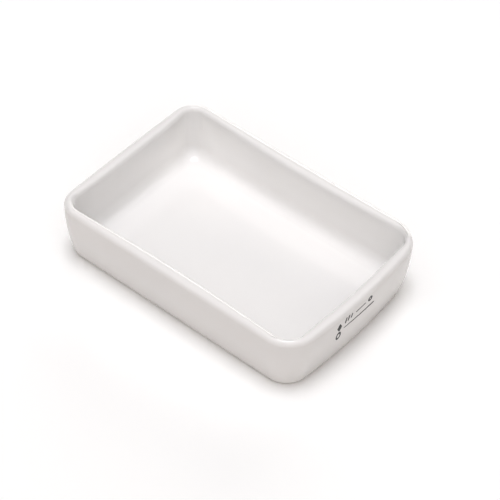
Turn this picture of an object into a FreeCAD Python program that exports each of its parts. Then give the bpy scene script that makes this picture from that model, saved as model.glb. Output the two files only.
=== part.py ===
"""Rectangular porcelain incineration dish: one pressed and fired piece, modelled as one solid.

Frame: millimetres, +Z up, origin on the base plane under the middle of the dish.
+X runs along the length, towards the end that carries the printed rules, and +Y across the width.

The dish is drawn as its mould is. Seen from above it is one outline: two straight long sides, two ends
that bow out, and four round corners. The printed end bows out more than the plain end and has the larger
corners. Seen in section it is a thick wall with two skins and a full round rim. The outer skin stands
plumb under the rim, leans in on a large arc and turns under at the foot. The inner skin tapers down to
the floor and meets it in a broad fillet. Each skin is its section carried once round the outline, and the
base, the floor and the narrow flat on top of the rim close them into a solid.

A section is drawn in two numbers: the inset from the outline, growing inwards, and the height z.
"""

import FreeCAD, Part
import math
import os

# Outside, over the rim
length = 100.0
width = 67.0
height = 22.0

# How far each end bows out beyond its corners, and how its corners are rounded
printed_end_bow = 2.4
printed_corner_radius = 11.0
plain_end_bow = 0.5
plain_corner_radius = 8.0

# Wall and floor
wall_thickness = 4.0
floor_thickness = 3.0

# Outer skin: how far the wall would stand in at the base, the round under it and the round at the rim
foot_inset = 3.0
foot_edge_radius = 1.2
rim_outer_radius = 2.0
rim_flat = 0.1

# Hollow: how far it narrows from mouth to floor, its corners seen from above, the fillet round its floor
hollow_taper = 0.9
printed_hollow_radius = printed_corner_radius - wall_thickness
plain_hollow_radius = 6.0
floor_fillet_radius = 4.5
least_floor_corner = 0.5

# Edges this close to a height count as lying at it
level_tolerance = 1e-6


def end_places(inset, bow, turn_radius, x_sign):
    """Where the outline turns at one end: x is signed, and y is that of the corner at +Y.

    They are the end of the straight side, the middle of the corner's arc, its touch with the arc of the
    end, and the middle of the end.
    """
    half_width = width / 2 - inset
    rim_end_radius = (width / 2) ** 2 / (2 * bow) + bow / 2
    end_centre = length / 2 - rim_end_radius
    end_radius = rim_end_radius - inset

    # A corner's arc touches the straight side, and the arc of the end from inside
    corner_y = half_width - turn_radius
    corner_x = end_centre + math.sqrt((end_radius - turn_radius) ** 2 - corner_y**2)
    touch_angle = math.atan2(corner_y, corner_x - end_centre)
    middle_angle = (math.pi / 2 + touch_angle) / 2

    side_end = (corner_x, half_width)
    middle_x = corner_x + turn_radius * math.cos(middle_angle)
    middle_y = corner_y + turn_radius * math.sin(middle_angle)
    touch_x = end_centre + end_radius * math.cos(touch_angle)
    touch_y = end_radius * math.sin(touch_angle)
    end_middle = (end_centre + end_radius, 0)
    places = (side_end, (middle_x, middle_y), (touch_x, touch_y), end_middle)
    return [(x_sign * x, y) for x, y in places]


def plan_outline(inset, printed_turn_radius, plain_turn_radius):
    """Outline at z = 0, drawn inset from the rim's, with its corners turned at the two radii.

    It starts at the +X end of the long side at +Y, and its first edge is that side.
    """
    printed_end = end_places(inset, printed_end_bow, printed_turn_radius, 1)
    plain_end = end_places(inset, plain_end_bow, plain_turn_radius, -1)

    def point(place, y_sign):
        return FreeCAD.Vector(place[0], y_sign * place[1], 0)

    curves = []
    for y_sign, start, end in ((1, printed_end, plain_end), (-1, plain_end, printed_end)):
        side_end, middle, touch, end_middle = end
        curves.append(Part.LineSegment(point(start[0], y_sign), point(side_end, y_sign)))
        curves.append(Part.Arc(point(side_end, y_sign), point(middle, y_sign), point(touch, y_sign)))
        curves.append(Part.Arc(point(touch, y_sign), point(end_middle, y_sign), point(touch, -y_sign)))
        curves.append(Part.Arc(point(touch, -y_sign), point(middle, -y_sign), point(side_end, -y_sign)))
    return Part.Wire([curve.toShape() for curve in curves])


def arc_points(centre, radius, start_angle, end_angle):
    """First, middle and last point of an arc in the section."""
    angles = (start_angle, (start_angle + end_angle) / 2, end_angle)
    return [(centre[0] + radius * math.cos(angle), centre[1] + radius * math.sin(angle)) for angle in angles]


def outer_section():
    """Outer skin from the base to the flat of the rim: foot round, leaning wall, rim round."""
    plumb_z = height - rim_outer_radius
    lean_radius = (foot_inset**2 + plumb_z**2) / (2 * foot_inset)

    # The foot's round touches the base plane, and the leaning wall from inside
    between_centres = lean_radius - foot_edge_radius
    foot_drop = plumb_z - foot_edge_radius
    foot_centre = (lean_radius - math.sqrt(between_centres**2 - foot_drop**2), foot_edge_radius)
    wall_foot_angle = math.pi + math.asin(foot_drop / between_centres)

    foot = arc_points(foot_centre, foot_edge_radius, 1.5 * math.pi, wall_foot_angle)
    wall = arc_points((lean_radius, plumb_z), lean_radius, wall_foot_angle, math.pi)
    rim = arc_points((rim_outer_radius, plumb_z), rim_outer_radius, math.pi, 0.5 * math.pi)
    return [foot, wall, rim]


def inner_section():
    """Inner skin from the flat of the rim to the floor, as insets from the outside of the rim.

    The rim's inner round takes what the outer round and the flat leave of the wall. The floor's fillet
    is held to what the tightest corner of the hollow can turn.
    """
    slope = math.atan(hollow_taper / (height - floor_thickness))
    rim_radius = wall_thickness - rim_outer_radius - rim_flat
    tightest_corner = min(printed_hollow_radius, plain_hollow_radius)
    fillet_limit = tightest_corner - hollow_taper - least_floor_corner
    fillet_radius = min(floor_fillet_radius, fillet_limit)

    # Each round touches a level plane and the tapered wall, which is square to slope
    rim_centre = (rim_outer_radius + rim_flat, height - rim_radius)
    touch_inset = rim_centre[0] + rim_radius * math.cos(slope)
    touch_z = rim_centre[1] + rim_radius * math.sin(slope)
    fillet_z = floor_thickness + fillet_radius
    fall = touch_z - fillet_z + fillet_radius * math.sin(slope)
    wall_foot = touch_inset + fall * math.tan(slope)
    fillet_centre = (wall_foot + fillet_radius * math.cos(slope), fillet_z)

    rim = arc_points(rim_centre, rim_radius, 0.5 * math.pi, slope)
    fillet = arc_points(fillet_centre, fillet_radius, math.pi + slope, 1.5 * math.pi)
    return [rim, [rim[-1], fillet[0]], fillet]


def skin(section, outline, outline_inset):
    """Carry a section round an outline that lies outline_inset in from the rim.

    A run of three points in the section is an arc, and a run of two is a straight line.
    """
    start = outline.OrderedVertexes[0].Point
    edges = []
    for run in section:
        points = [FreeCAD.Vector(start.x, start.y + outline_inset - inset, z) for inset, z in run]
        curve = Part.Arc(*points) if len(points) == 3 else Part.LineSegment(*points)
        edges.append(curve.toShape())
    return outline.makePipeShell([Part.Wire(edges)], False, True)


def level_loop(surface, z):
    """The closed loop of edges that a skin ends in at height z."""
    level = []
    for edge in surface.Edges:
        box = edge.BoundBox
        if abs(box.ZMin - z) < level_tolerance and abs(box.ZMax - z) < level_tolerance:
            level.append(edge)
    return Part.Wire(Part.__sortEdges__(level))


def make_dish():
    """Both skins, closed by the base, the floor and the flat of the rim."""
    rim_outline = plan_outline(0, printed_corner_radius, plain_corner_radius)
    mouth_outline = plan_outline(wall_thickness, printed_hollow_radius, plain_hollow_radius)
    outside = skin(outer_section(), rim_outline, 0)
    inside = skin(inner_section(), mouth_outline, wall_thickness)
    base = Part.Face(level_loop(outside, 0))
    floor = Part.Face(level_loop(inside, floor_thickness))
    rim_top = Part.Face([level_loop(outside, height), level_loop(inside, height)])
    closed = Part.Shell(outside.Faces + inside.Faces + [base, floor, rim_top])
    closed.sewShape()
    return Part.Solid(closed)


os.makedirs("parts", exist_ok=True)
dish = make_dish()
dish.exportStep("parts/dish.step")
print("dish: volume", round(dish.Volume), "cubic mm, valid", dish.isValid(), "closed", dish.isClosed())
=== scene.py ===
# %% [markdown]
# # A porcelain incineration dish
#
# The real dish is one piece of hard porcelain, pressed in a mould, glazed and fired. It is a shallow
# rectangular tray with round corners, a round rim and a broad fillet round its floor. Its solid comes from
# CAD and is only loaded here. This lesson dresses it: a finer skin over the solid, the glaze, the printed
# marks at one end, and then a floor, soft light and a camera.

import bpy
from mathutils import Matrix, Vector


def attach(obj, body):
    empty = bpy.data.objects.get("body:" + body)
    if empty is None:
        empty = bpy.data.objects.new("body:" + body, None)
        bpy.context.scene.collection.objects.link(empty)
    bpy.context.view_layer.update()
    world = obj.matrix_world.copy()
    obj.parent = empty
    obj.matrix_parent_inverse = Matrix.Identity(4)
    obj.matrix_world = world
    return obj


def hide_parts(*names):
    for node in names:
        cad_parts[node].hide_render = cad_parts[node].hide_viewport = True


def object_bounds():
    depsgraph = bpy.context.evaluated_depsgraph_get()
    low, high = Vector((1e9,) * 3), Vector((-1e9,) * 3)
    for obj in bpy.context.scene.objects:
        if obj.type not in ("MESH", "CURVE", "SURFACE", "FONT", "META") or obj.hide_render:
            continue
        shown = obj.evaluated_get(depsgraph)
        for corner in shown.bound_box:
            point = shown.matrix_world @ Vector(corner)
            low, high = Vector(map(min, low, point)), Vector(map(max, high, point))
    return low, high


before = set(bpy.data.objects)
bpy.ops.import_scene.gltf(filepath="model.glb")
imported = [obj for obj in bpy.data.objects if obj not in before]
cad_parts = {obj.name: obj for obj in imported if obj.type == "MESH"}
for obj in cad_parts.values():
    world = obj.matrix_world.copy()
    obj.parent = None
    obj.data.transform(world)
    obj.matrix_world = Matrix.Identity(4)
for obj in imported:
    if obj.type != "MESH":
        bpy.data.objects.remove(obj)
cad_low, cad_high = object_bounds()
print("CAD box in metres:", [round(v, 4) for v in cad_low], [round(v, 4) for v in cad_high])

# %% [markdown]
# ## Camera
#
# The camera stands about two thirds of a metre away with a long lens, so the far side of the dish looks
# only a little smaller than the near one. Its place could be set by hand until the picture looks right. Here
# it is given as a photographer would say it: how far round the dish the camera stands, how high, how far
# away, where it aims on the table and how much it leans to one side. The lens comes from how many pixels
# wide a thing is that is as wide as it is far away.

# %% Camera
import bpy
import numpy as np
from mathutils import Matrix

MM = 0.001

image_size = 500
camera_azimuth, camera_elevation, camera_roll = np.radians([37.90, 46.06, 2.52])
camera_distance = 703.3 * MM
camera_aim = np.array([-2.14, 8.23, 0.0]) * MM
focal_pixels = 2151.5
sensor_width = 36.0


def direction_to(azimuth, elevation):
    """Unit vector from the dish to a place so far round it and so high, both in radians.

    Azimuth 0 lies at -Y, and a quarter turn on lies +X.
    """
    return np.array([
        np.sin(azimuth) * np.cos(elevation),
        -np.cos(azimuth) * np.cos(elevation),
        np.sin(elevation),
    ])


back = direction_to(camera_azimuth, camera_elevation)
level_right = np.array([np.cos(camera_azimuth), np.sin(camera_azimuth), 0.0])
level_up = np.cross(back, level_right)
right = level_right * np.cos(camera_roll) + level_up * np.sin(camera_roll)
up = level_up * np.cos(camera_roll) - level_right * np.sin(camera_roll)

placement = np.eye(4)
placement[:3, :3] = np.column_stack([right, up, back])
placement[:3, 3] = camera_aim + back * camera_distance

lens = bpy.data.cameras.new("photographer")
lens.sensor_width = sensor_width
lens.lens = focal_pixels * sensor_width / image_size
camera = bpy.data.objects.new("photographer", lens)
camera.matrix_world = Matrix(placement.tolist())
bpy.context.scene.collection.objects.link(camera)
bpy.context.scene.camera = camera
print("lens:", round(lens.lens, 1), "mm")

# %% [markdown]
# ## The dish seen from above
#
# From above the dish is one closed outline: two straight long sides, two ends that bow out, and four round
# corners. The printed end bows out more and has the larger corners. It could be drawn as a spline, but a
# mould is cut with straight lines and arcs, and arcs give clean highlights. A corner touches the side and the
# end, so its centre follows from both. Each point of the outline also keeps the direction that faces
# outwards there. The outline is worked out at many insets at once, one row for each.

# %% Ends of the outline
length, width, height = np.array(cad_high) - np.array(cad_low)

printed_end_bow = 2.4 * MM
plain_end_bow = 0.5 * MM
printed_corner_radius = 11.0 * MM
plain_corner_radius = 8.0 * MM

side_steps, corner_steps, end_steps = 60, 44, 26


def end_arc(bow):
    """Centre and radius of an end's arc: half the width squared over twice the bow, plus half the bow."""
    radius = (width / 2) ** 2 / (2 * bow) + bow / 2
    return length / 2 - radius, radius


end_radii = [round(end_arc(bow)[1] / MM) for bow in (printed_end_bow, plain_end_bow)]
print("radii of the printed and the plain end:", end_radii, "mm")

# %% Half of the outline


def half_outline(inset, corner_radius, bow):
    """One end of the outline at each inset, from the middle of one long side to the middle of the other.

    A corner's centre lies its own radius inside the straight side and inside the arc of the end. Returns
    points and outward directions, anticlockwise from the side at -Y: a row per inset, a column per step.
    """
    inset, radius = inset[:, None], corner_radius[:, None]
    end_centre, end_radius = end_arc(bow)
    end_radius = end_radius - inset
    corner_y = width / 2 - inset - radius
    corner_x = end_centre + np.sqrt((end_radius - radius) ** 2 - corner_y**2)
    touch = np.arctan2(corner_y, corner_x - end_centre)

    def place(x, y, reach, turn):
        """Points at reach from (x, y) in the outward direction of angle turn, and that direction."""
        out = np.stack([np.cos(turn), np.sin(turn)], axis=2)
        return np.stack([x, y], axis=2) + reach[:, :, None] * out, out

    along_side = np.linspace(0, 1, side_steps, endpoint=False)[None]
    along_corner = np.linspace(0, 1, corner_steps, endpoint=False)[None]
    along_end = np.linspace(0, 1, end_steps + 1)[None]
    ones = np.ones_like
    side = place(
        corner_x * along_side, -corner_y * ones(along_side), radius, -np.pi / 2 * ones(corner_x * along_side)
    )
    corner = place(
        corner_x * ones(along_corner), -corner_y * ones(along_corner), radius,
        -np.pi / 2 + (np.pi / 2 - touch) * along_corner,
    )
    end = place(
        end_centre * ones(touch * along_end), 0 * touch * along_end, end_radius, -touch * (1 - along_end)
    )
    mirror = np.array([1, -1])
    halves = [np.concatenate(parts, axis=1) for parts in zip(side, corner, end)]
    return [np.concatenate([half, half[:, -2::-1] * mirror], axis=1) for half in halves]


# %% Whole outline


def outline(inset, printed_radius, plain_radius):
    """Both ends joined into a closed loop. The plain end is a half outline turned half round."""
    printed = half_outline(inset, printed_radius, printed_end_bow)
    plain = half_outline(inset, plain_radius, plain_end_bow)
    return [np.concatenate([near[:, :-1], -far[:, :-1]], axis=1) for near, far in zip(printed, plain)]


print("points round the outline:", 4 * (side_steps + corner_steps + end_steps))

# %% [markdown]
# ## The dish in section
#
# Cut through, the wall has two skins. The outer one turns under at the foot, leans out on a large arc and
# rounds over the rim. The inner one falls a little inwards to the floor and meets it in a wide fillet. The
# section could be a list of points, but a chain of arcs stays round at any number of them. Each arc is given
# by its centre, its radius and its first and last angle, in two numbers: how far in from the outline a point
# lies, and how high.

# %% Section
wall = 4.0 * MM
floor_thickness = 3.0 * MM
foot_inset = 3.0 * MM
foot_edge_radius = 1.2 * MM
rim_outer_radius = 2.0 * MM
rim_flat = 0.1 * MM
hollow_taper = 0.9 * MM
floor_fillet_radius = 4.5 * MM

plumb_z = height - rim_outer_radius
lean_radius = (foot_inset**2 + plumb_z**2) / (2 * foot_inset)

up_angle, out_angle, down_angle = 0.5 * np.pi, np.pi, 1.5 * np.pi
foot_points, wall_points, rim_points, taper_points, fillet_points = 12, 18, 18, 14, 26


def arc(centre, radius, start, stop, count):
    """Points of an arc: its centre plus radius times cosine and sine of evenly spaced angles."""
    angles = np.linspace(start, stop, count)
    return np.column_stack([centre[0] + radius * np.cos(angles), centre[1] + radius * np.sin(angles)])


def outer_section():
    """From the edge of the base up to the flat of the rim: foot round, leaning wall, rim round."""
    between = lean_radius - foot_edge_radius
    drop = plumb_z - foot_edge_radius
    foot_centre = (lean_radius - np.sqrt(between**2 - drop**2), foot_edge_radius)
    foot_top = out_angle + np.arcsin(drop / between)
    foot = arc(foot_centre, foot_edge_radius, down_angle, foot_top, foot_points)
    leaning = arc((lean_radius, plumb_z), lean_radius, foot_top, out_angle, wall_points)[1:]
    rim = arc((rim_outer_radius, plumb_z), rim_outer_radius, out_angle, up_angle, rim_points)[1:]
    return np.vstack([foot, leaning, rim])


def inner_section():
    """From the flat of the rim down to the edge of the floor: rim round, tapered wall, fillet."""
    slope = np.arctan(hollow_taper / (height - floor_thickness))
    rim_radius = wall - rim_outer_radius - rim_flat
    rim_centre = (rim_outer_radius + rim_flat, height - rim_radius)
    rim = arc(rim_centre, rim_radius, up_angle, slope, rim_points)
    fillet_z = floor_thickness + floor_fillet_radius
    fall = rim[-1, 1] - fillet_z + floor_fillet_radius * np.sin(slope)
    wall_foot = rim[-1, 0] + fall * np.tan(slope)
    fillet_centre = (wall_foot + floor_fillet_radius * np.cos(slope), fillet_z)
    fillet = arc(fillet_centre, floor_fillet_radius, out_angle + slope, down_angle, fillet_points)
    steps = np.linspace(0, 1, taper_points)[1:-1, None]
    tapered = rim[-1] + (fillet[0] - rim[-1]) * steps
    return np.vstack([rim, tapered, fillet])


outer = outer_section()
inner = inner_section()
print("rows on the outer and inner skin:", len(outer), len(inner))

# %% [markdown]
# ## The skin of the dish
#
# Carrying the section round the outline gives the whole surface at once, as one grid of rows and columns.
# The solid's own triangles could be smoothed instead, but they follow no rows, and a gloss shows that. Two
# things keep the skin from looking machined. The corners of the hollow aren't an even step in from those of
# the outline: at the printed end its edge turns more sharply, and each corner changes to its own radius by
# the floor. And the wall isn't even: it is thickest in the middle of each side and thinner at the corners,
# and the middle of the rim moves out with the hollow's edge.

# %% Skin
mouth_sharpening = 2.0 * MM
printed_floor_radius = 5.0 * MM
plain_floor_radius = 4.5 * MM
corner_thinning = 1.3 * MM
side_thickening = 0.2 * MM
corner_reach = 1.3


def smooth(share):
    """0 to 1 with no slope at either end: three times the share squared, less twice its cube."""
    share = np.clip(share, 0, 1)
    return share**2 * (3 - 2 * share)


def skin(section, printed_radius, plain_radius, edge_share):
    """Grid of points: the outline at each row's inset, and the row's height.

    Each point is also moved outwards by its row's share of the shift of the hollow's edge. That shift grows
    from the middle of each side to the corners, as the square of x times the fourth power of y.
    """
    points, outward = outline(section[:, 0], printed_radius, plain_radius)
    x, y = points[0, :, 0] / (length / 2), points[0, :, 1] / (width / 2)
    nearness = np.clip(corner_reach * x**2 * y**4, 0, 1)
    shift = corner_thinning * nearness * (2 - nearness) - side_thickening
    flat = points + outward * (edge_share[:, None] * shift[None])[:, :, None]
    lift = np.broadcast_to(section[:, 1][:, None, None], flat.shape[:2] + (1,))
    return np.concatenate([flat, lift], axis=2)


inset, z = outer.T
on_rim = np.where(z > plumb_z, inset / wall, 0)
outer_skin = skin(outer, printed_corner_radius - inset, plain_corner_radius - inset, on_rim)

inset, z = inner.T
depth_share = smooth((inset - wall) / (inset[-1] - wall))
past_crest = smooth((inset - rim_outer_radius) / (wall - rim_outer_radius))
printed_radius = printed_corner_radius - np.minimum(inset, wall) - mouth_sharpening * past_crest
plain_radius = plain_corner_radius - np.minimum(inset, wall)
printed_radius += (printed_floor_radius - printed_radius) * depth_share
plain_radius += (plain_floor_radius - plain_radius) * depth_share
below_rim = np.minimum(inset / wall, 1) * smooth((z - floor_thickness) / (plumb_z - floor_thickness))
inner_skin = skin(inner, printed_radius, plain_radius, below_rim)
print("points on the outer and inner skin:", outer_skin[:, :, 0].size, inner_skin[:, :, 0].size)

# %% [markdown]
# ## Base and floor
#
# The base and the floor could be flat plates set in with a seam, but the real ones run on from the wall. So
# each is the lowest ring of its skin, shrunk towards the middle ring by ring. A fired floor isn't dead flat:
# it rises a little towards its middle and rolls by a few hundredths of a millimetre, and a glossy surface
# shows that at once in what it mirrors.

# %% Base and floor
base_rings, floor_rings = 10, 34
floor_crown = 0.15 * MM
crown_falloff = 1.5
floor_roll = 0.03 * MM
roll_reach_x, roll_reach_y = 9 * MM, 8 * MM
roll_shift_x, roll_shift_y = 0.7, 0.4
roll_fade = 3


def shrunk(ring, shares):
    """A ring scaled towards the middle of the dish by each share."""
    rings = ring[None] * shares[:, None, None]
    rings[:, :, 2] = ring[None, :, 2]
    return rings


def floor_height(x, y, reach_x, reach_y):
    """Crown of the floor: a bump that dies out with no slope at the fillet, and two long shallow waves.

    The bump is 1 less x squared, times 1 less y squared, in shares of the reach, to the power of its falloff.
    The waves are a sine along x times a cosine along y, and fade out where the bump does.
    """
    inside_x = np.clip(1 - (x / reach_x) ** 2, 0, 1)
    inside_y = np.clip(1 - (y / reach_y) ** 2, 0, 1)
    edge = (inside_x * inside_y) ** crown_falloff
    waves = np.sin(x / roll_reach_x + roll_shift_x) * np.cos(y / roll_reach_y - roll_shift_y)
    return floor_crown * edge + floor_roll * waves * np.clip(roll_fade * edge, 0, 1)


base_skin = shrunk(outer_skin[0], np.linspace(0, 1, base_rings + 1)[1:-1])
floor_skin = shrunk(inner_skin[-1], np.linspace(1, 0, floor_rings + 1)[1:-1])
floor_reach = inner_skin[-1, :, :2].max(axis=0)
floor_skin[:, :, 2] += floor_height(floor_skin[:, :, 0], floor_skin[:, :, 1], *floor_reach)
floor_middle = floor_thickness + floor_height(0.0, 0.0, *floor_reach)
print("height of the floor's middle:", round(floor_middle / MM, 3), "mm")

# %% [markdown]
# ## One closed mesh
#
# Base, outer skin, inner skin and floor follow one another as rows of one grid. They could be four pieces
# with their edges merged, but rows that share their points have no seam to merge. Each middle is closed with
# one point. Each point also keeps its share of painted light, for the glaze to read: none on the base and the
# outer wall, which get the greyer tint as painted shade, most of it on the crest of the rim and all of it in
# the hollow.

# %% Meshes from grids


def joined(name, parts):
    """One object from several (points, groups of faces), with its faces shaded smooth."""
    points, faces, start = [], [], 0
    for part_points, face_groups in parts:
        points.append(part_points)
        for group in face_groups:
            faces.extend((group + start).tolist())
        start += len(part_points)
    mesh = bpy.data.meshes.new(name)
    mesh.from_pydata(np.vstack(points).tolist(), [], faces)
    mesh.shade_smooth()
    piece = bpy.data.objects.new(name, mesh)
    bpy.context.scene.collection.objects.link(piece)
    return piece


def quads_between(row_count, column_count, column, beside):
    """Corners of each four-sided face between two rows, from each column to the one beside it."""
    start = np.arange(row_count - 1)[:, None] * column_count
    after = start + column_count
    return np.stack([start + column, start + beside, after + beside, after + column], axis=2).reshape(-1, 4)


def closed_rings(rows, first_pole, last_pole):
    """Points and faces of a grid whose rows are closed rings, with a point closing it at each end."""
    row_count, column_count = rows.shape[:2]
    points = np.vstack([rows.reshape(-1, 3), first_pole, last_pole])
    column = np.arange(column_count)
    beside = (column + 1) % column_count
    first, last = len(points) - 2, len(points) - 1
    top = (row_count - 1) * column_count
    caps = np.vstack([
        np.column_stack([np.full(column_count, first), beside, column]),
        np.column_stack([np.full(column_count, last), top + column, top + beside]),
    ])
    return points, [quads_between(row_count, column_count, column, beside), caps]


# %% Glazed dish
# Share of the hollow's lighter tint, which is painted light, on the crest of the rim.
crest_painted_light = 0.7

rows = np.concatenate([base_skin, outer_skin, inner_skin, floor_skin])
dish = joined("glazed_dish", [closed_rings(rows, [0, 0, 0], [0, 0, floor_middle])])
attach(dish, "root")
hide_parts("dish")

# Share of painted light for each row: none on the base and outer wall, rising over the rim, all in the
# hollow.
before_crest = smooth((outer[:, 1] - plumb_z) / rim_outer_radius)
row_share = np.concatenate([
    np.zeros(len(base_skin)),
    crest_painted_light * before_crest,
    crest_painted_light + (1 - crest_painted_light) * past_crest,
    np.ones(len(floor_skin)),
])
point_share = np.concatenate([np.repeat(row_share, rows.shape[1]), [0, 1]])
# Each point carries its share of painted light for the glaze to read.
dish.data.attributes.new("painted_light_share", "FLOAT", "POINT").data.foreach_set("value", point_share)
print("triangles in the skin:", 2 * rows.shape[0] * rows.shape[1])

# %% [markdown]
# ## Printed marks
#
# A rubber stamp leaves black ink on the printed end, and the kiln fires it on. It could be painted in the
# material, but a thin film of mesh stays crisp from any distance. Each mark is drawn in two numbers that fit
# the wall, y along it and z up it, and a formula for the wall gives the third. The film stands a few
# hundredths of a millimetre proud in its middle and dips under the glaze at its edge. The marks are a long
# rule with a short rule above it, a row of slanted bars, and a few plain closed shapes.

# %% Film of ink
film_rise = 0.035 * MM
film_dip = 0.01 * MM


def on_printed_end(y, z, rise):
    """Points at rise above the outer skin of the printed end.

    The skin there turns round the centre of the end's arc, and leans in on the large arc below the plumb
    line. Its outward direction is level at the plumb line, and dips by the angle of that arc below it.
    """
    end_centre, rim_end_radius = end_arc(printed_end_bow)
    dip = np.arcsin((plumb_z - z) / lean_radius)
    end_radius = rim_end_radius - lean_radius * (1 - np.cos(dip))
    turn = np.arcsin(y / end_radius)
    reach = end_radius + rise * np.cos(dip)
    x = end_centre + reach * np.cos(turn)
    return np.stack([x, reach * np.sin(turn), z - rise * np.sin(dip)], axis=-1)


def film(y, z, height_share):
    """Points and faces of a grid on the wall, at height share 0 to 1 of the film's rise."""
    grid = on_printed_end(y, z, height_share * (film_rise + film_dip) - film_dip)
    row_count, column_count = y.shape
    column = np.arange(column_count - 1)
    return grid.reshape(-1, 3), [quads_between(row_count, column_count, column, column + 1)]


print("film from its edge to its middle:", round((film_rise + film_dip) / MM, 3), "mm")

# %% Strokes and closed shapes
stroke_points, across_points, turn_points = 61, 9, 73
end_squareness = 18
long_ripple, long_ripple_share = 31, 0.12
short_ripple, short_ripple_share = 83, 0.06
ripple_slant = 2


def bar(start, end, start_width, end_width):
    """A stroke from start to end, both (y, z), with round ends and slightly ragged sides.

    Along the stroke u goes from 0 to 1, and the width falls as the root of 1 - |2u - 1| to a high power.
    """
    along = (1 - np.cos(np.linspace(0, np.pi, stroke_points)))[:, None] / 2
    across = np.linspace(-1, 1, across_points)[None]
    step = np.array(end) - np.array(start)
    side = np.array([-step[1], step[0]]) / np.hypot(*step)
    shape = np.sqrt(np.clip(1 - np.abs(2 * along - 1) ** end_squareness, 0, 1))
    long_wave = long_ripple_share * np.sin(long_ripple * along + ripple_slant * across)
    ragged = 1 + long_wave + short_ripple_share * np.sin(short_ripple * along)
    half = (start_width + (end_width - start_width) * along) / 2 * shape * ragged
    y = start[0] + step[0] * along + side[0] * half * across
    z = start[1] + step[1] * along + side[1] * half * across
    return film(y, z, (1 - across**2) * np.ones_like(along))


def loop(centre, reach_y, reach_z, hole, power):
    """A closed mark round a centre: a rounded figure of the given power, from its hole's share outwards.

    Power 2 is an ellipse, and power 1.1 is a lozenge: |y|^power + |z|^power is the same all round.
    """
    turn = np.linspace(0, -2 * np.pi, turn_points)[None]
    out = np.linspace(0, 1, across_points)[:, None]
    size = (np.abs(np.cos(turn)) ** power + np.abs(np.sin(turn)) ** power) ** (-1 / power)
    reach = (hole + (1 - hole) * out) * size
    y = centre[0] + reach_y * reach * np.cos(turn)
    z = centre[1] + reach_z * reach * np.sin(turn)
    height_share = 1 - (2 * out - 1) ** 2 if hole else 1 - out**2
    return film(y, z, height_share * np.ones_like(turn))


# %% Printed marks


def millimetres(*values):
    """Each value as metres."""
    return tuple(value * MM for value in values)


long_rule = bar(millimetres(-9.8, 15.1), millimetres(5.4, 15.1), *millimetres(0.48, 0.82))
short_rule = bar(millimetres(-4.3, 18.0), millimetres(0.6, 18.3), *millimetres(0.52, 0.48))
slanted_bars = [
    bar(millimetres(-9.3, 17.0), millimetres(-8.7, 19.2), *millimetres(0.75, 0.65)),
    bar(millimetres(-8.0, 17.1), millimetres(-7.4, 19.3), *millimetres(0.65, 0.75)),
    bar(millimetres(-6.5, 17.3), millimetres(-6.0, 19.1), *millimetres(0.7, 0.6)),
]
round_ring = loop(millimetres(2.9, 18.4), *millimetres(1.15, 1.05), hole=0.3, power=2.0)
lozenge = loop(millimetres(-11.9, 16.9), *millimetres(1.2, 1.95), hole=0.0, power=1.1)
tall_ring = loop(millimetres(-11.9, 13.0), *millimetres(1.2, 1.9), hole=0.45, power=2.0)

marks = [long_rule, short_rule, *slanted_bars, round_ring, lozenge, tall_ring]
printed = joined("printed_marks", marks)
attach(printed, "root")
print("marks:", len(marks))

# %% [markdown]
# ## Shader recipes
#
# A finish is a small sum over noise and height. Wired by hand it is a tangle of nodes, so one class wraps a
# socket and lets Python's own operators add the Math nodes: 1 - mask is then a Subtract node. Every other
# kind of node comes from one method that sets its settings first and then its inputs.

# %% Shader recipes
MIX_FACTOR, MIX_FIRST, MIX_SECOND, MIX_RESULT = 0, 6, 7, 2


class Wire:
    """An output of a node tree that takes part in Python arithmetic. Each operator adds one Math node."""

    def __init__(self, tree, socket=None):
        self.tree = tree
        self.socket = socket

    def fill(self, node, inputs):
        """Link each wire to the node's input of that name or number, and set each plain value on it."""
        for name, value in dict(inputs).items():
            if isinstance(value, Wire):
                self.tree.links.new(value.socket, node.inputs[name])
            else:
                node.inputs[name].default_value = value

    def node(self, kind, settings=(), inputs=(), output=0):
        """Add any node: settings first, then its inputs. Gives the wire of one output."""
        made = self.tree.nodes.new(kind)
        for name, value in dict(settings).items():
            setattr(made, name, value)
        self.fill(made, inputs)
        return Wire(self.tree, made.outputs[output])

    def math(self, operation, *terms):
        return self.node("ShaderNodeMath", {"operation": operation}, dict(enumerate(terms)))

    def __add__(self, other):
        return self.math("ADD", self, other)

    def __mul__(self, other):
        return self.math("MULTIPLY", self, other)

    def __sub__(self, other):
        return self.math("SUBTRACT", self, other)

    def __rsub__(self, other):
        return self.math("SUBTRACT", other, self)

    __radd__ = __add__
    __rmul__ = __mul__

    def ramp(self, low, high):
        """0 below low, 1 above high and a smooth step between."""
        settings = {"interpolation_type": "SMOOTHSTEP"}
        return self.node("ShaderNodeMapRange", settings, {"Value": self, "From Min": low, "From Max": high})

    def blend(self, first, second):
        """Colour that goes from first to second as this wire goes from 0 to 1."""
        inputs = {MIX_FACTOR: self, MIX_FIRST: first, MIX_SECOND: second}
        return self.node("ShaderNodeMix", {"data_type": "RGBA"}, inputs, MIX_RESULT)


# %% Empty finish and noise
noise_middle = 0.5


def new_finish(name):
    """Material whose tree holds a shader and its output. Gives it, a wire to build with and the shader."""
    material = bpy.data.materials.new(name)
    material.use_nodes = True
    tree = material.node_tree
    tree.nodes.clear()
    shader = tree.nodes.new("ShaderNodeBsdfPrincipled")
    surface = tree.nodes.new("ShaderNodeOutputMaterial")
    tree.links.new(shader.outputs[0], surface.inputs["Surface"])
    return material, Wire(tree), shader


def noise(place, scale, detail):
    """Noise from 0 to 1 over a place: scale sets how fine it is, and detail how many finer layers it has."""
    inputs = {"Vector": place, "Scale": scale, "Detail": detail}
    return place.node("ShaderNodeTexNoise", inputs=inputs, output="Fac")
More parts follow.
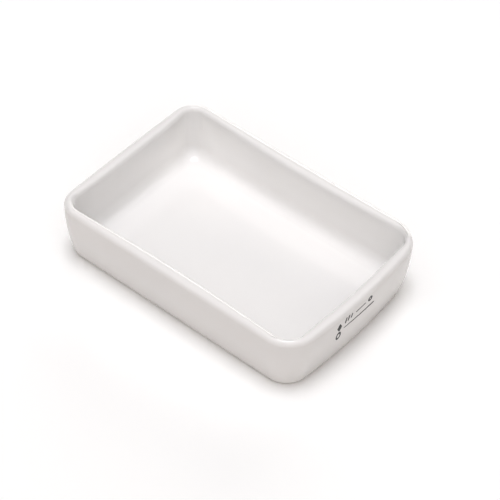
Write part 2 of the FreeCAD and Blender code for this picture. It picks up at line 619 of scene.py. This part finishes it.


# %% [markdown]
# ## Glaze
#
# Laboratory porcelain is white with a trace of warmth, under a hard clear glaze that mirrors as glass does.
# A plain glossy white would look like plastic. The glaze is therefore uneven in four ways. The body's tint
# drifts a little over the dish. The surface rolls very slightly, which breaks up reflections. The outside is
# painted greyer than the hollow: painted shade on the outer wall, fading over the crest of the rim, and
# painted light in the hollow. And the underside, where the dish stood in the kiln, is left unglazed, matt and
# a little darker.

# %% Glaze
glaze_ior = 1.5
# Lighter tints for the hollow and greyer ones outside: painted light and painted shade on one glaze.
lit_hollow_tints = (0.911, 0.905, 0.899, 1), (0.919, 0.911, 0.903, 1)
shaded_outer_tints = (0.800, 0.780, 0.766, 1), (0.812, 0.788, 0.772, 1)
bare_tint = (0.78, 0.745, 0.70, 1)
tint_edges = 0.3, 0.7

glaze_edges = 0.25 * MM, 0.45 * MM
edge_wander = 0.5 * MM

glazed_roughness, bare_roughness, roughness_drift = 0.05, 0.5, 0.02
relief = 0.02 * MM
grain_share = 0.5

drift_noise, edge_noise = (35.0, 2.0), (220.0, 3.0)
roll_noise, grain_noise = (120.0, 1.0), (2500.0, 4.0)


def glaze():
    """White glaze, painted light where the mesh's share says so and painted shade outside, over a body left
    bare at the foot.
    """
    material, recipe, shader = new_finish("white_glaze")
    place = recipe.node("ShaderNodeTexCoord", output="Object")
    height_here = recipe.node("ShaderNodeSeparateXYZ", inputs={0: place}, output="Z")
    # Share of painted light: the lighter tint in the hollow, the greyer painted shade outside.
    lit_share = recipe.node("ShaderNodeAttribute", {"attribute_name": "painted_light_share"}, output="Fac")

    drift = noise(place, *drift_noise)
    wander = (noise(place, *edge_noise) - noise_middle) * edge_wander
    bare = 1 - (height_here + wander).ramp(*glaze_edges)

    tint = drift.ramp(*tint_edges)
    # Painted light and shade: the lighter tint in the hollow, the greyer one on the outside.
    glazed_colour = lit_share.blend(tint.blend(*shaded_outer_tints), tint.blend(*lit_hollow_tints))
    surface = noise(place, *roll_noise) * (1 - bare) + noise(place, *grain_noise) * bare * grain_share
    bump = recipe.node("ShaderNodeBump", inputs={"Height": surface, "Distance": relief, "Strength": 1.0})
    recipe.fill(shader, {
        "Base Color": bare.blend(glazed_colour, bare_tint),
        "Roughness": glazed_roughness + bare * bare_roughness + (drift - noise_middle) * roughness_drift,
        "Normal": bump,
        "IOR": glaze_ior,
    })
    return material


dish.data.materials.append(glaze())
print("finish of the dish:", dish.data.materials[0].name)

# %% [markdown]
# ## Ink
#
# The marks are black ink, fired on and a little duller than the glaze. One flat black would look cut out, so
# the ink is thin in places, where the white shows through a little and the surface is rougher.

# %% Ink
ink_tints = (0.012, 0.011, 0.011, 1), (0.09, 0.085, 0.08, 1)
thin_edges = 0.5, 0.75
ink_noise = 1800.0, 3.0
ink_roughness, thin_roughness = 0.3, 0.2


def ink():
    """Black ink that turns greyer and rougher where it is thin."""
    material, recipe, shader = new_finish("fired_black_ink")
    thin = noise(recipe.node("ShaderNodeTexCoord", output="Object"), *ink_noise).ramp(*thin_edges)
    recipe.fill(shader, {
        "Base Color": thin.blend(*ink_tints),
        "Roughness": ink_roughness + thin * thin_roughness,
        "IOR": glaze_ior,
    })
    return material


printed.data.materials.append(ink())
print("finish of the marks:", printed.data.materials[0].name)

# %% [markdown]
# ## Table
#
# The dish stands on a plain white table that fills the view. The table could carry a backdrop, but seen from
# above it is the backdrop, so one large square is enough. It is matt, so that it shows the shadow of the dish
# and no reflection.

# %% Table
table_reach = 3.0
table_white = (0.99, 0.99, 0.985, 1)


def white_table():
    """A large flat square just under the dish, white and matt."""
    corners = np.array([[-1, -1, 0], [1, -1, 0], [1, 1, 0], [-1, 1, 0]]) * table_reach
    mesh = bpy.data.meshes.new("table")
    mesh.from_pydata(corners.tolist(), [], [[0, 1, 2, 3]])
    piece = bpy.data.objects.new("table", mesh)
    bpy.context.scene.collection.objects.link(piece)
    material, recipe, shader = new_finish("matt_white_table")
    recipe.fill(shader, {"Base Color": table_white, "Roughness": 1.0, "Specular IOR Level": 0.0})
    mesh.materials.append(material)
    return piece


table = white_table()
print("table:", 2 * table_reach, "m across")

# %% [markdown]
# ## Light
#
# The light could be a set of lamps, but a white glaze under soft light shows only how bright each direction
# is, so the sky itself is painted. A compact lamp overhead makes the walls dimmer than the floor of the dish
# and keeps the shadow close round its foot. A broad, weak and warmer glow above fills the walls, and a strip
# low behind the dish lights the far rims. A black flag hangs behind the dish, and the floor mirrors it, so
# that the walls' own reflections in the floor can be seen. A display gamma below one adds the contrast that
# a camera's own picture has, and leaves white as white. Each disc of light is given by its azimuth, its
# elevation, the half angle of its even core and the width of its fade, in degrees.

# %% Light
lights = {
    "lamp overhead": {"disc": (-72.0, 88.0, 7.2, 7.0), "strength": 7.5, "tint": (0.97, 0.99, 1.04, 1)},
    "glow above": {"disc": (31.0, 70.0, 50.0, 21.0), "strength": 0.97, "tint": (1.03, 1.0, 0.985, 1)},
    "strip low behind": {"disc": (205.0, 16.0, 14.0, 12.0), "strength": 3.0, "tint": (1.03, 1.0, 0.97, 1)},
}
black_flag = (217.0, 46.0, 14.0, 10.0)
display_gamma = 0.78


def studio_light():
    """World light by direction: the sum of the lights' discs, dark where the black flag hangs."""
    world = bpy.data.worlds.new("studio")
    world.use_nodes = True
    tree = world.node_tree
    tree.nodes.clear()
    sky = Wire(tree)
    direction = sky.node("ShaderNodeTexCoord", output="Generated")

    def disc(azimuth, elevation, half_angle, edge):
        """1 within half_angle of a direction, then a smooth fall to 0 over edge, all in degrees."""
        aim = direction_to(*np.radians([azimuth, elevation]))
        closeness = sky.node(
            "ShaderNodeVectorMath", {"operation": "DOT_PRODUCT"}, {0: direction, 1: aim.tolist()}, "Value"
        )
        outer_edge, inner_edge = np.cos(np.radians([half_angle + edge, half_angle]))
        return closeness.ramp(outer_edge, inner_edge)

    open_sky = 1 - disc(*black_flag)
    total = sky.node("ShaderNodeBackground", inputs={"Strength": 0.0})
    for light in lights.values():
        strength = disc(*light["disc"]) * open_sky * light["strength"]
        glow = sky.node("ShaderNodeBackground", inputs={"Color": light["tint"], "Strength": strength})
        total = sky.node("ShaderNodeAddShader", inputs={0: total, 1: glow})
    surface = tree.nodes.new("ShaderNodeOutputWorld")
    tree.links.new(total.socket, surface.inputs["Surface"])
    return world


bpy.context.scene.world = studio_light()
display = bpy.context.scene.view_settings
display.view_transform = "Standard"
display.gamma = display_gamma
print("lights:", ", ".join(lights))
